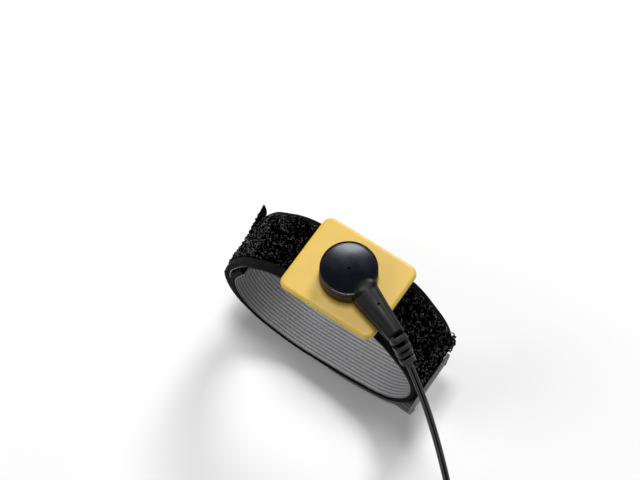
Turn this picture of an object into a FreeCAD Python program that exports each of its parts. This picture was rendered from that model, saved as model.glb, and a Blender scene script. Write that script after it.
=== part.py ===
import FreeCAD, Part
import math
import os

import Sketcher

# Wrist strap for grounding a person at an electronics bench, in millimetres.
# The strap stands as a closed loop on a flat surface. The origin is on that surface, under the
# axis of the snap. X runs across the wrist, Y along the forearm and Z up through the snap.

SIZES = (
    ("loop_height", 51.0),
    ("plate_length", 29.5),
    ("plate_width", 24.5),
    ("plate_thick", 3.0),
    ("plate_corner", 2.7),
    ("plate_bevel", 0.9),
    ("channel_depth", 1.45),
    ("channel_width", 19.6),
    ("strap_width", 19.0),
    ("band_thick", 1.6),
    ("lining_thick", 0.3),
    ("tab_thick", 1.1),
    ("tab_offset", 2.2),
    ("tab_reach", 8.3),
    ("skin_length", 22.0),
    ("skin_width", 17.0),
    ("skin_thick", 0.5),
    ("rivet_radius", 1.3),
    ("stud_neck", 1.5),
    ("stud_head", 1.95),
    ("cap_radius", 7.75),
    ("cap_top", 5.8),
    ("drum_top", 4.7),
    ("drum_lift", 0.35),
    ("socket_radius", 4.5),
    ("arm_turn", -21.8),
    ("arm_reach", 22.4),
    ("arm_axis", 2.9),
    ("arm_under", 0.5),
    ("root_half", 3.75),
    ("tip_half", 2.5),
    ("cord_width", 2.0),
    ("core_width", 1.0),
    ("relief_width", 4.6),
    ("coil_outer", 17.0),
    ("coil_inner", 8.0),
    ("coil_base", 0.5),
    ("coil_height", 7.3),
    ("coil_x", 46.0),
    ("coil_y", -51.0),
    ("lead_x", 19.5),
    ("lead_y", -75.0),
    ("lead_height", 4.2),
    ("banana_length", 22.0),
    ("pin_length", 19.0),
    ("pin_core", 1.2),
    ("pin_radius", 2.0),
    ("barrel_bore", 2.06),
    ("barrel_radius", 2.6),
    ("clip_start", 0.5),
    ("clip_length", 50.0),
    ("clip_half", 3.2),
    ("sheet_metal", 0.5),
    ("pivot_along", 22.5),
    ("pivot_up", 1.0),
    ("pivot_radius", 0.8),
)

# The loop's outer surface, corner by corner, as (x, height below the plate's top face).
LOOP = {
    "top_right": (13.6, -1.5),
    "edge_right": (18.4, -4.9),
    "shoulder_right": (26.5, -15.4),
    "side_right": (30.3, -24.6),
    "low_right": (29.4, -35.5),
    "heel_right": (21.8, -46.0),
    "foot_right": (8.0, -51.0),
    "foot_left": (-13.0, -51.0),
    "heel_left": (-27.0, -46.3),
    "low_left": (-34.6, -37.5),
    "side_left": (-36.6, -26.0),
    "shoulder_left": (-31.6, -15.2),
    "edge_left": (-24.6, -6.2),
    "top_left": (-17.3, -1.5),
}

# The band from its inner end round to its outer end, as loop corners with the depth of the
# band's middle below the outer surface: under the outer layer and the tab first, then outermost.
BAND = (
    ("shoulder_left", 3.25),
    ("side_left", 3.25),
    ("low_left", 3.25),
    ("heel_left", 3.25),
    ("foot_left", 3.3),
    ("foot_right", 4.6),
    ("heel_right", 2.7),
    ("low_right", 2.8),
    ("side_right", 2.1),
    ("shoulder_right", 0.8),
    ("edge_right", 0.8),
    ("top_right", 0.8),
    ("top_left", 0.8),
    ("edge_left", 0.8),
    ("shoulder_left", 0.8),
    ("side_left", 0.8),
    ("low_left", 0.8),
    ("heel_left", 0.8),
    ("foot_left", 0.8),
    ("foot_right", 0.8),
)

# The cord's middle line from the strain relief down to the coil, and from the coil to the plug.
CORD_ROUTE = (
    (26.4, -10.55, 47.0),
    (30.1, -12.05, 41.9),
    (35.3, -14.6, 35.2),
    (42.0, -18.3, 24.0),
    (49.0, -22.6, 10.0),
    (56.5, -29.0, 1.0),
    (61.5, -38.5, 1.0),
    (62.3, -45.6, 1.0),
)
TAIL_ROUTE = (
    (62.0, -56.6, 6.6),
    (62.6, -63.0, 3.6),
    (61.0, -69.6, 1.4),
    (56.2, -74.0, 2.4),
    (49.5, -75.0, 4.2),
)

Vector = FreeCAD.Vector
UP = Vector(0, 0, 1)
ROUNDING = 0.45

doc = FreeCAD.newDocument("wrist_strap")
sheet = doc.addObject("Spreadsheet::Sheet", "dim")
nodes = []


def fill_sheet():
    for row, (alias, value) in enumerate(SIZES, 1):
        sheet.set(f"A{row}", alias)
        sheet.set(f"B{row}", str(value))
        sheet.setAlias(f"B{row}", alias)
    doc.recompute()


def size(expression):
    """The value of a sheet expression whose names are plain aliases."""
    return float(sheet.evalExpression(bound(expression)))


def bound(expression):
    """The expression with each alias written as a reference to the sheet."""
    words = expression.replace("(", " ( ").replace(")", " ) ").split()
    return " ".join(f"dim.{word}" if word[0].isalpha() else word for word in words)


def keep(thing, label, placement=None):
    """Makes an object a sub-part, under its own name and in its own place."""
    thing.Label = label
    if placement is not None:
        thing.Placement = placement
    nodes.append(thing)
    return thing


def at(x, y, z, turn=0.0):
    return FreeCAD.Placement(Vector(x, y, z), FreeCAD.Rotation(UP, turn))


def on_plate():
    return at(0, 0, size("loop_height"))


def in_arm():
    return at(0, 0, size("loop_height"), size("arm_turn"))


def in_lead():
    return at(size("lead_x"), size("lead_y"), size("lead_height"), 180)


# ---- sketches and features bound to the sheet ----


def sketch(body, plane, corners):
    """A closed sketch of straight edges; a corner is a pair of sheet expressions."""
    made = body.newObject("Sketcher::SketchObject", f"{body.Name}_outline")
    origin_plane = [f for f in body.Origin.OriginFeatures if f.Role == plane][0]
    made.AttachmentSupport = [(origin_plane, "")]
    made.MapMode = "FlatFace"
    places = [Vector(size(x), size(y), 0) for x, y in corners]
    for i, place in enumerate(places):
        made.addGeometry(Part.LineSegment(place, places[(i + 1) % len(places)]), False)
    for i in range(len(places)):
        made.addConstraint(Sketcher.Constraint("Coincident", i, 2, (i + 1) % len(places), 1))
    for i, pair in enumerate(corners):
        for expression, axis, kind in zip(pair, (-2, -1), ("DistanceX", "DistanceY")):
            hold_corner(made, i, expression, axis, kind)
    return made


def hold_corner(made, corner, expression, axis, kind):
    value = size(expression)
    if abs(value) < 1e-9:
        made.addConstraint(Sketcher.Constraint("PointOnObject", corner, 1, axis))
        return
    index = made.addConstraint(Sketcher.Constraint(kind, -1, 1, corner, 1, value))
    name = f"{kind}{corner}"
    made.renameConstraint(index, name)
    made.setExpression(f"Constraints.{name}", bound(expression))


def new_body(name):
    return doc.addObject("PartDesign::Body", name)


def turned(name, axis, corners):
    """A body of revolution about the sketch's V axis (Z) or H axis (X)."""
    body = new_body(name)
    turn = body.newObject("PartDesign::Revolution", f"{name}_turn")
    turn.Profile = sketch(body, "XZ_Plane", corners)
    turn.ReferenceAxis = (turn.Profile[0], [axis])
    turn.Angle = 360
    return body


def pressed(name, plane, corners, height, middle=False):
    """A body padded from an outline by a sheet expression, to one side or about its middle."""
    body = new_body(name)
    pad = body.newObject("PartDesign::Pad", f"{name}_pad")
    pad.Profile = sketch(body, plane, corners)
    pad.setExpression("Length", bound(height))
    if middle:
        pad.SideType = "Symmetric"
    return body


def rectangle(length, width):
    half_l, half_w = f"{length} / 2", f"{width} / 2"
    minus_l, minus_w = f"-1 * {half_l}", f"-1 * {half_w}"
    return ((minus_l, minus_w), (half_l, minus_w), (half_l, half_w), (minus_l, half_w))


def edges_where(body, test):
    """The names of the body's edges whose two ends both pass a test."""
    shape = body.Shape
    return [
        f"Edge{i + 1}"
        for i, edge in enumerate(shape.Edges)
        if all(test(vertex.Point) for vertex in edge.Vertexes) and len(edge.Vertexes) == 2
    ]


def upright(edge):
    a, b = (vertex.Point for vertex in edge.Vertexes)
    return abs(a.x - b.x) < 1e-6 and abs(a.y - b.y) < 1e-6


def round_corners(body, radius):
    """Rounds a padded plate's upright corner edges."""
    doc.recompute()
    names = [
        f"Edge{i + 1}"
        for i, edge in enumerate(body.Shape.Edges)
        if len(edge.Vertexes) == 2 and upright(edge)
    ]
    base = body.Tip
    fillet = body.newObject("PartDesign::Fillet", f"{body.Name}_corners")
    fillet.Base = (base, names)
    fillet.setExpression("Radius", bound(radius))
    doc.recompute()


def ease_top(body, level, bevel):
    """Chamfers the edges of a body that lie at one height."""
    names = edges_where(body, lambda p: abs(p.z - size(level)) < 1e-6)
    base = body.Tip
    chamfer = body.newObject("PartDesign::Chamfer", f"{body.Name}_bevel")
    chamfer.Base = (base, names)
    chamfer.setExpression("Size", bound(bevel))
    doc.recompute()


def cylinder(name, radius, height, base=(0, 0, 0), direction=UP):
    rod = doc.addObject("Part::Cylinder", name)
    rod.setExpression("Radius", bound(radius))
    rod.setExpression("Height", bound(height))
    rod.Placement = FreeCAD.Placement(Vector(*base), FreeCAD.Rotation(UP, direction))
    return rod


def block(name, length, width, height, base):
    box = doc.addObject("Part::Box", name)
    box.setExpression("Length", bound(length))
    box.setExpression("Width", bound(width))
    box.setExpression("Height", bound(height))
    box.Placement.Base = Vector(*base)
    return box


def cut(name, base, tool):
    made = doc.addObject("Part::Cut", name)
    made.Base = base
    made.Tool = tool
    return made


def fuse(name, *things):
    made = doc.addObject("Part::MultiFuse", name)
    made.Shapes = list(things)
    return made


def shaped(name, shape):
    made = doc.addObject("Part::Feature", name)
    made.Shape = shape
    return made


# ---- routes: straight runs joined by tangent arcs ----


def bends(points):
    """For each inner point of a route: where its arc starts, its middle and where it ends."""
    made = []
    for before, corner, after in zip(points, points[1:], points[2:]):
        back, ahead = before - corner, after - corner
        reach = ROUNDING * min(back.Length, ahead.Length)
        back.normalize()
        ahead.normalize()
        half_turn = (math.pi - back.getAngle(ahead)) / 2
        radius = reach / math.tan(half_turn)
        inward = (back + ahead).normalize()
        middle = corner + inward * (radius / math.cos(half_turn) - radius)
        made.append((corner + back * reach, middle, corner + ahead * reach, radius))
    return made


def route_wire(points):
    edges, last = [], points[0]
    for start, middle, end, _ in bends(points):
        edges.append(Part.LineSegment(last, start).toShape())
        edges.append(Part.Arc(start, middle, end).toShape())
        last = end
    edges.append(Part.LineSegment(last, points[-1]).toShape())
    return Part.Wire(edges)


def tube(points, width):
    """A round tube along a route; prints its tightest bend and how its volume compares."""
    path = route_wire(points)
    start = points[0]
    section = Part.Wire([Part.Circle(start, points[1] - start, width / 2).toShape()])
    maker = Part.BRepOffsetAPI.MakePipeShell(path)
    maker.setFrenetMode(False)
    maker.add(section)
    maker.build()
    maker.makeSolid()
    solid = maker.shape()
    tightest = min(bend[3] for bend in bends(points))
    share = solid.Volume / (math.pi * width**2 / 4 * path.Length)
    print(f"tube: length {path.Length:.1f} tightest {tightest:.1f} volume share {share:.4f}")
    return solid


def strip(points, outer, inner, width, shift):
    """A flat strap along a route in the XZ plane, from one distance off its line to another.

    The distances are towards the left of the route's direction as seen from -Y.
    """

    def side(distance):
        edges, last = [], None
        for place in stations(points):
            spots = [spot + normal * distance for spot, normal in place]
            if last is not None:
                edges.append(Part.LineSegment(last, spots[0]).toShape())
            if len(spots) == 3:
                edges.append(Part.Arc(*spots).toShape())
            last = spots[-1]
        return edges

    far, near = side(outer), side(inner)
    first = Part.LineSegment(near[0].Vertexes[0].Point, far[0].Vertexes[0].Point).toShape()
    last = Part.LineSegment(far[-1].Vertexes[-1].Point, near[-1].Vertexes[-1].Point).toShape()
    outline = Part.Wire(Part.__sortEdges__([first, *far, last, *near]))
    solid = Part.Face(outline).extrude(Vector(0, width, 0))
    solid.translate(Vector(0, shift - width / 2, 0))
    return solid


def stations(points):
    """The route's ends and arcs, as places with the unit normals there."""

    def normal(a, b):
        along = (b - a).normalize()
        return Vector(-along.z, 0, along.x)

    made = [[(points[0], normal(points[0], points[1]))]]
    for i, (start, middle, end, _) in enumerate(bends(points)):
        first = normal(points[i], points[i + 1])
        second = normal(points[i + 1], points[i + 2])
        made.append([(start, first), (middle, (first + second).normalize()), (end, second)])
    made.append([(points[-1], normal(points[-2], points[-1]))])
    return made


def below_surface(name, depth):
    """The point that lies a depth inside the loop's outer surface at one of its corners."""
    names = list(LOOP)
    i = names.index(name)
    corner = Vector(LOOP[name][0], 0, LOOP[name][1])
    before = Vector(LOOP[names[i - 1]][0], 0, LOOP[names[i - 1]][1]) - corner
    after_name = names[(i + 1) % len(names)]
    after = Vector(LOOP[after_name][0], 0, LOOP[after_name][1]) - corner
    half_angle = before.getAngle(after) / 2
    inward = (before.normalize() + after.normalize()).normalize()
    lift = Vector(0, 0, size("loop_height"))
    return corner + inward * (depth / math.sin(half_angle)) + lift


# ---- the strap ----


def strap_parts():
    band = size("band_thick")
    lining = size("lining_thick")
    width = size("strap_width")
    route = [below_surface(name, depth) for name, depth in BAND]
    post = Part.makeCylinder(size("rivet_radius"), 8, Vector(0, 0, size("loop_height") - 6))
    # the route runs against the clock seen from -Y, so its left side faces the wrist
    outside = strip(route, -band / 2, band / 2, width, 0).cut(post)
    inside = strip(route, band / 2, band / 2 + lining, width, 0).cut(post)
    keep(shaped("band", outside), "strap_band")
    keep(shaped("lining", inside), "conductive_lining")


def tab_parts():
    """The hook tab: its sewn end between the layers, and the free end that peels off the pile."""
    thick = size("tab_thick")
    width = size("strap_width")
    shift = -size("tab_offset")
    layer = size("band_thick") + size("lining_thick")
    sewn_depth = layer + 0.15 + thick / 2
    foot = below_surface("foot_right", sewn_depth)
    start = foot - Vector(7.5, 0, 0)
    heel = below_surface("heel_right", thick / 2)
    low = below_surface("low_right", thick / 2)
    side = below_surface("side_right", thick / 2)
    crease = (heel + low) * 0.5
    gap = (low - heel).normalize() * 0.05
    end = low + (side - low).normalize() * size("tab_reach")
    fixed = strip([start, foot, heel, crease - gap], -thick / 2, thick / 2, width, shift)
    free = strip([crease + gap, low, end], -thick / 2, thick / 2, width, shift)
    keep(shaped("tab_fixed", fixed), "tab_sewn_end")
    keep(shaped("tab_free", free), "hook_tab")
    outward = Vector(low.z - heel.z, 0, heel.x - low.x).normalize()
    print("peel hinge at", crease + outward * (thick / 2))


def cover_plate():
    body = pressed("cover", "XY_Plane", rectangle("plate_length", "plate_width"), "plate_thick")
    round_corners(body, "plate_corner")
    ease_top(body, "plate_thick", "plate_bevel")
    thick = size("plate_thick")
    channel = block(
        "cover_channel", "plate_length + 2", "channel_width", "plate_thick - channel_depth",
        (-size("plate_length + 2") / 2, -size("channel_width") / 2, 0),
    )
    hole = cylinder("cover_hole", "rivet_radius", "plate_thick + 2")
    opened = cut("cover_open", cut("cover_channelled", body, channel), hole)
    keep(opened, "cover_plate", at(0, 0, size("loop_height") - thick))


def skin_plate():
    """The stainless plate that touches the skin, under the strap."""
    body = pressed("skin", "XY_Plane", rectangle("skin_length", "skin_width"), "skin_thick")
    round_corners(body, "plate_corner")
    depth = size("channel_depth + band_thick + lining_thick + skin_thick") + 0.1
    hole = cylinder("skin_hole", "rivet_radius", "skin_thick + 2")
    keep(cut("skin_open", body, hole), "skin_plate", at(0, 0, size("loop_height") - depth))


def snap_stud():
    corners = (
        ("rivet_radius", "0"),
        ("4", "0"),
        ("4", "0.25"),
        ("stud_neck + 0.3", "0.35"),
        ("stud_neck", "0.6"),
        ("stud_neck", "1.5"),
        ("stud_head", "1.9"),
        ("stud_head", "2.9"),
        ("stud_head - 0.45", "3.3"),
        ("0", "3.3"),
        ("0", "2.7"),
        ("rivet_radius", "2.7"),
    )
    keep(turned("stud", "V_Axis", corners), "snap_stud", on_plate())


def stud_rivet():
    """The rivet whose head lies on the skin plate and whose post fills the stud."""
    head = "-1 * ( channel_depth + band_thick + lining_thick + skin_thick + 0.1 )"
    corners = (
        ("0", f"{head} - 0.35"),
        ("2.8", f"{head} - 0.35"),
        ("3", f"{head} - 0.15"),
        ("3", head),
        ("rivet_radius", head),
        ("rivet_radius", "2.7"),
        ("0", "2.7"),
    )
    keep(turned("rivet", "V_Axis", corners), "stud_rivet", on_plate())


# ---- the snap plug on the cord ----


def plug_base():
    """The round housing over the stud, with the lower half of the arm."""
    corners = (
        ("socket_radius + 0.05", "drum_lift"),
        ("cap_radius - 0.25", "drum_lift"),
        ("cap_radius + 0.15", "drum_lift + 0.4"),
        ("cap_radius", "drum_top"),
        ("0", "drum_top"),
        ("0", "3.75"),
        ("socket_radius + 0.05", "3.75"),
    )
    drum = turned("drum", "V_Axis", corners)
    taper = (
        ("6.4", "-1 * root_half"),
        ("arm_reach", "-1 * tip_half"),
        ("arm_reach", "tip_half"),
        ("6.4", "root_half"),
    )
    arm = pressed("arm_lower", "XY_Plane", taper, "arm_axis - arm_under")
    arm.Placement = at(0, 0, size("arm_under"))
    whole = fuse("base_whole", drum, arm)
    channel = block("base_channel", "arm_reach - 4.2 - 1.4", "3", "2.7", (4.2, -1.5, 1.5))
    outlet = cylinder(
        "base_outlet", "core_width / 2 + 0.2", "6", (18, 0, size("arm_axis")), Vector(1, 0, 0)
    )
    keep(cut("base_open", cut("base_hollow", whole, channel), outlet), "plug_base", in_arm())


def arm_section(along, half, top, ridge):
    """A closed cross-section of the arm's upper shell at one place along it."""
    low = size("arm_axis")
    corners = [
        Vector(along, -half, low),
        Vector(along, -half, low + 0.45 * (top - low)),
        Vector(along, -0.55 * half, top - ridge),
        Vector(along, 0.1 * half, top),
        Vector(along, 0.6 * half, top - ridge),
        Vector(along, half, low + 0.45 * (top - low)),
        Vector(along, half, low),
    ]
    return Part.makePolygon([*corners, corners[0]])


def arm_cover():
    """The faceted upper shell of the arm, whose nose overlaps the round cap."""
    top = size("cap_top")
    root, tip = size("root_half"), size("tip_half")
    sections = [
        arm_section(4.6, 0.45 * root, top + 0.1, 0.1),
        arm_section(7.4, root, top + 0.8, 0.6),
        arm_section(14.0, 0.5 * (root + tip) + 0.2, top + 0.4, 0.6),
        arm_section(size("arm_reach"), tip, top - 0.2, 0.6),
    ]
    solid = Part.makeLoft(sections, True, True)
    seat = Part.makeCylinder(size("cap_radius") + 0.2, top + 0.05)
    inside = Part.makeBox(size("arm_reach") - 5.6, 3, 1.4, Vector(4.2, -1.5, size("arm_axis")))
    along = Vector(1, 0, 0)
    outlet = Part.makeCylinder(size("core_width") / 2 + 0.2, 6, Vector(18, 0, size("arm_axis")), along)
    keep(shaped("arm_upper", solid.cut(seat).cut(inside).cut(outlet)), "arm_cover", in_arm())


def plug_cap():
    corners = (
        ("0", "drum_top + 0.02"),
        ("cap_radius - 0.1", "drum_top + 0.02"),
        ("cap_radius", "cap_top - 0.35"),
        ("cap_radius - 0.3", "cap_top"),
        ("cap_radius - 0.8", "cap_top - 0.05"),
        ("cap_radius / 2", "cap_top - 0.25"),
        ("0.35", "cap_top - 0.32"),
        ("0.35", "cap_top - 0.6"),
        ("0", "cap_top - 0.6"),
    )
    keep(turned("cap", "V_Axis", corners), "plug_cap", in_arm())


def snap_socket():
    corners = (
        ("2.15", "drum_lift + 0.15"),
        ("socket_radius", "drum_lift + 0.15"),
        ("socket_radius", "3.7"),
        ("0", "3.7"),
        ("0", "3.4"),
        ("2.15", "3.4"),
    )
    keep(turned("socket", "V_Axis", corners), "snap_socket", in_arm())


def socket_spring():
    """The wire ring that grips the stud's neck, open on one side."""
    ring = doc.addObject("Part::Torus", "spring_ring")
    ring.Radius1 = 1.95
    ring.Radius2 = 0.17
    ring.Placement.Base = Vector(0, 0, 1.1)
    gap = block("spring_gap", "2", "0.8", "1", (1, -0.4, 0.6))
    keep(cut("spring_open", ring, gap), "socket_spring", on_plate())


def lead_inside():
    """What joins the socket to the cord inside the arm: a lug, a resistor and a crimp."""
    level = size("arm_axis")
    along = Vector(1, 0, 0)
    lug = block("lug", "3.4", "2", "0.3", (size("socket_radius"), -1, level - 0.6))
    keep(lug, "contact_lug", in_arm().multiply(lug.Placement))
    body = cylinder("resistor_body", "1.1", "5.6", (10.2, 0, level), along)
    lead = cylinder("resistor_lead", "0.3", "12.8", (6.6, 0, level), along)
    keep(fuse("resistor", body, lead), "limit_resistor", in_arm())
    sleeve = cylinder("crimp_sleeve", "1.05", "3.4", (17.4, 0, level), along)
    bore = cylinder("crimp_bore", "core_width / 2 + 0.05", "5", (17.0, 0, level), along)
    keep(cut("crimp", sleeve, bore), "crimp_ferrule", in_arm())


RIB_PLACES = (0.16, 0.44, 0.68)
RIB_THICK = 0.9


def relief_route():
    reach, level = size("arm_reach"), size("arm_axis")
    end = in_arm().inverse().multVec(Vector(*CORD_ROUTE[0]))
    return [Vector(reach, 0, level), Vector(reach + 1.2, 0, level - 0.6), Vector(end.x, 0, end.z)]


def strain_relief():
    """A flexible core with staggered ribs and an end collar, along a short downward bend."""
    route = relief_route()
    half = size("relief_width") / 2
    core = tube([route[0] - Vector(1, 0, 0), *route], size("relief_width") * 0.72)
    along = (route[2] - route[1]).normalize()
    length = (route[2] - route[1]).Length
    for share in RIB_PLACES:
        base = route[1] + along * (share * length)
        core = core.fuse(Part.makeCylinder(half, RIB_THICK, base, along))
    collar = Part.makeCylinder(half - 0.1, 0.8, route[2] - along * 0.8, along)
    wire_way = tube([route[0] - Vector(2, 0, 0), *route], size("core_width") + 0.1)
    inside_arm = Part.makeBox(6, 12, 12, Vector(size("arm_reach") - 6, -6, -6))
    whole = core.fuse(collar).cut(wire_way).cut(inside_arm)
    keep(shaped("relief", whole), "strain_relief", in_arm())


def inner_conductor():
    route = relief_route()
    inside = [Vector(19.5, 0, route[0].z), *route]
    keep(shaped("conductor", tube(inside, size("core_width"))), "inner_conductor", in_arm())


# ---- the cord, put away in a coil, and what is on its far end ----


def cord_parts():
    width = size("cord_width")
    keep(shaped("cord_run", tube([Vector(*p) for p in CORD_ROUTE], width)), "cord")
    keep(shaped("cord_end", tube([Vector(*p) for p in TAIL_ROUTE], width)), "cord_tail")
    corners = (
        ("coil_inner", "coil_base + 0.8"),
        ("coil_inner + 0.8", "coil_base"),
        ("coil_outer - 0.8", "coil_base"),
        ("coil_outer", "coil_base + 0.8"),
        ("coil_outer", "coil_base + coil_height - 0.8"),
        ("coil_outer - 0.8", "coil_base + coil_height"),
        ("coil_inner + 0.8", "coil_base + coil_height"),
        ("coil_inner", "coil_base + coil_height - 0.8"),
    )
    place = at(size("coil_x"), size("coil_y"), 0)
    keep(turned("coil", "V_Axis", corners), "cord_coil", place)


def coil_tie():
    """A flat tie wrapped once round the coil's turns, on the coil's far side."""
    outer, inner = size("coil_outer"), size("coil_inner")
    middle = (inner + outer) / 2
    skin = block("tie_skin", "coil_outer - coil_inner + 1.2", "4", "coil_height + 1", (0, 0, 0))
    hole = block("tie_hole", "coil_outer - coil_inner + 0.2", "4", "coil_height", (0.5, 0, 0.5))
    made = cut("tie", skin, hole)
    reach = (outer - inner) / 2 + 0.6
    place = at(size("coil_x") - middle - reach, size("coil_y") - 2, size("coil_base") - 0.5)
    keep(made, "coil_tie", place)


def banana_parts():
    rod = (
        ("-1 * banana_length / 2", "0"),
        ("-1 * banana_length / 2", "pin_core"),
        ("pin_length - 0.8", "pin_core"),
        ("pin_length", "0.5"),
        ("pin_length", "0"),
    )
    keep(turned("pin_rod", "H_Axis", rod), "banana_pin", in_lead())
    leaves = (
        ("0.8", "pin_core + 0.02"),
        ("0.8", "pin_core + 0.4"),
        ("4", "pin_radius - 0.12"),
        ("8", "pin_radius"),
        ("12", "pin_radius - 0.12"),
        ("15.6", "pin_core + 0.4"),
        ("15.6", "pin_core + 0.02"),
        ("12", "pin_radius - 0.47"),
        ("8", "pin_radius - 0.35"),
        ("4", "pin_radius - 0.47"),
    )
    lantern = turned("leaves", "H_Axis", leaves)
    slot_a = block("leaf_slot_a", "11.5", "0.5", "6", (2.2, -0.25, -3))
    slot_b = block("leaf_slot_b", "11.5", "6", "0.5", (2.2, -3, -0.25))
    opened = cut("lantern_cut", cut("lantern_half", lantern, slot_a), slot_b)
    keep(opened, "banana_spring", in_lead())


def banana_covers():
    """The moulded grip over the pin's rear half, and the ribbed sleeve behind it."""
    grip = (
        ("0", "pin_core + 0.02"),
        ("0", "3.6"),
        ("-0.6", "lead_height"),
        ("-5", "lead_height"),
        ("-8", "3.5"),
        ("-16", "3.3"),
        ("-1 * banana_length", "2.9"),
        ("-1 * banana_length", "1.05"),
        ("-1 * banana_length / 2 - 0.1", "1.05"),
        ("-1 * banana_length / 2 - 0.1", "pin_core + 0.02"),
    )
    keep(turned("grip", "H_Axis", grip), "banana_grip", in_lead())
    sleeve = [("-1 * banana_length - 0.02", "1.05"), ("-1 * banana_length - 0.02", "2.5")]
    for i in range(4):
        near, far = f"-1 * banana_length - {1.0 + 1.8 * i:.1f}", f"-1 * banana_length - {1.8 + 1.8 * i:.1f}"
        rib, waist = f"{2.5 - 0.2 * i:.2f}", f"{1.9 - 0.12 * i:.2f}"
        sleeve += [(near, rib), (near, waist), (far, waist), (far, f"{2.3 - 0.2 * i:.2f}")]
    sleeve += [("-1 * banana_length - 8", "1.7"), ("-1 * banana_length - 8", "1.05")]
    keep(turned("sleeve", "H_Axis", sleeve), "banana_relief", in_lead())


def clip_place():
    return in_lead().multiply(at(size("clip_start"), 0, 0))


def clip_lower_jaw():
    """The clip's fixed jaw: a folded channel with two ears, and the barrel for the pin."""
    side = (
        ("11", "-2"),
        ("13", "-1 * lead_height"),
        ("36", "-1 * lead_height"),
        ("clip_length", "-1.2"),
        ("clip_length", "-0.06"),
        ("30", "-0.06"),
        ("26", "pivot_up + 1.6"),
        ("19", "pivot_up + 1.6"),
        ("15", "-0.5"),
    )
    hollow = (
        ("10", "-1 * lead_height + sheet_metal"),
        ("35.8", "-1 * lead_height + sheet_metal"),
        ("clip_length - 1", "-1.2 + sheet_metal"),
        ("clip_length - 1", "5"),
        ("10", "5"),
    )
    outside = pressed("lower_side", "XZ_Plane", side, "clip_half * 2", middle=True)
    inside = pressed("lower_hollow", "XZ_Plane", hollow, "clip_half * 2 - sheet_metal * 2", middle=True)
    folded = cut("lower_folded", outside, inside)
    along = Vector(1, 0, 0)
    neck = block("lower_neck", "5", "3", "2.2", (11, -1.5, -4.1))
    barrel = cylinder("lower_barrel", "barrel_radius", "15", (0, 0, 0), along)
    bore = cylinder("lower_bore", "barrel_bore", "30", (-1, 0, 0), along)
    across = Vector(0, 1, 0)
    hole_at = (size("pivot_along"), -6, size("pivot_up"))
    hole = cylinder("lower_hole", "pivot_radius + 0.05", "12", hole_at, across)
    whole = fuse("lower_whole", folded, neck, barrel)
    made = cut("lower_open", cut("lower_bored", whole, bore), hole)
    keep(made, "clip_lower_jaw", clip_place())


def clip_upper_jaw():
    """The moving jaw with its thumb lever, inside the lower jaw's ears."""
    side = (
        ("clip_length", "0.06"),
        ("clip_length", "1.3"),
        ("38", "3.9"),
        ("25", "4.6"),
        ("1", "10.8"),
        ("1", "10.1"),
        ("18.5", "3.6"),
        ("20.5", "-0.6"),
        ("24.5", "-0.6"),
        ("29", "0.06"),
    )
    hollow = (
        ("clip_length - 1", "-2"),
        ("clip_length - 1", "0.8"),
        ("37.8", "3.4"),
        ("25", "4.1"),
        ("17", "6.15"),
        ("17", "-2"),
    )
    width = "clip_half * 2 - sheet_metal * 2 - 0.4"
    outside = pressed("upper_side", "XZ_Plane", side, width, middle=True)
    inside = pressed("upper_hollow", "XZ_Plane", hollow, f"{width} - sheet_metal * 2", middle=True)
    hole_at = (size("pivot_along"), -6, size("pivot_up"))
    hole = cylinder("upper_hole", "pivot_radius + 0.05", "12", hole_at, Vector(0, 1, 0))
    made = cut("upper_open", cut("upper_folded", outside, inside), hole)
    keep(made, "clip_upper_jaw", clip_place())


def clip_pivot():
    across = Vector(0, 1, 0)
    x, z = size("pivot_along"), size("pivot_up")
    half = size("clip_half")
    rod = cylinder("pivot_rod", "pivot_radius", "clip_half * 2 + 0.8", (x, -half - 0.4, z), across)
    heads = [
        cylinder(f"pivot_head_{i}", "1.3", "0.4", (x, y, z), across)
        for i, y in enumerate((-half - 0.45, half + 0.05))
    ]
    keep(fuse("pivot", rod, *heads), "clip_pivot_pin", clip_place())


def clip_spring():
    """The torsion spring's coil round the pivot, and its leg along the channel's floor."""
    x, z = size("pivot_along"), size("pivot_up")
    across = Vector(0, 1, 0)
    coil = cylinder("coil_skin", "1.5", "3.2", (x, -1.6, z), across)
    bore = cylinder("coil_bore", "pivot_radius + 0.1", "5", (x, -2.5, z), across)
    leg_along = Vector(6.5, 0, -3.0)
    leg = cylinder("coil_leg", "0.25", "7.0", (x + 0.1, 1.2, z - 1.2), leg_along)
    keep(fuse("torsion", cut("coil_open", coil, bore), leg), "clip_spring", clip_place())


def check_and_write():
    doc.recompute()
    for thing in doc.Objects:
        if "Invalid" in thing.State or "Error" in thing.State:
            raise RuntimeError(f"{thing.Name} failed: {thing.State}")
    for node in nodes:
        if node.Shape.isNull() or not node.Shape.isValid():
            raise RuntimeError(f"{node.Label} has no valid shape")
    os.makedirs("parts", exist_ok=True)
    for node in nodes:
        node.Shape.exportStep(f"parts/{node.Label}.step")
        print(f"{node.Label}: {len(node.Shape.Solids)} solid, {node.Shape.Volume:.1f} mm3")


fill_sheet()
strap_parts()
tab_parts()
cover_plate()
skin_plate()
snap_stud()
stud_rivet()
plug_base()
arm_cover()
plug_cap()
snap_socket()
socket_spring()
lead_inside()
strain_relief()
inner_conductor()
cord_parts()
coil_tie()
banana_parts()
banana_covers()
clip_lower_jaw()
clip_upper_jaw()
clip_pivot()
clip_spring()
check_and_write()
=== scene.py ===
"""A grounding wrist strap: a pile-webbing band, a yellow cover plate, and a snap plug on a twin cord."""

import math

import bmesh
import bpy
import numpy as np
from mathutils import Matrix, Vector


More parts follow.
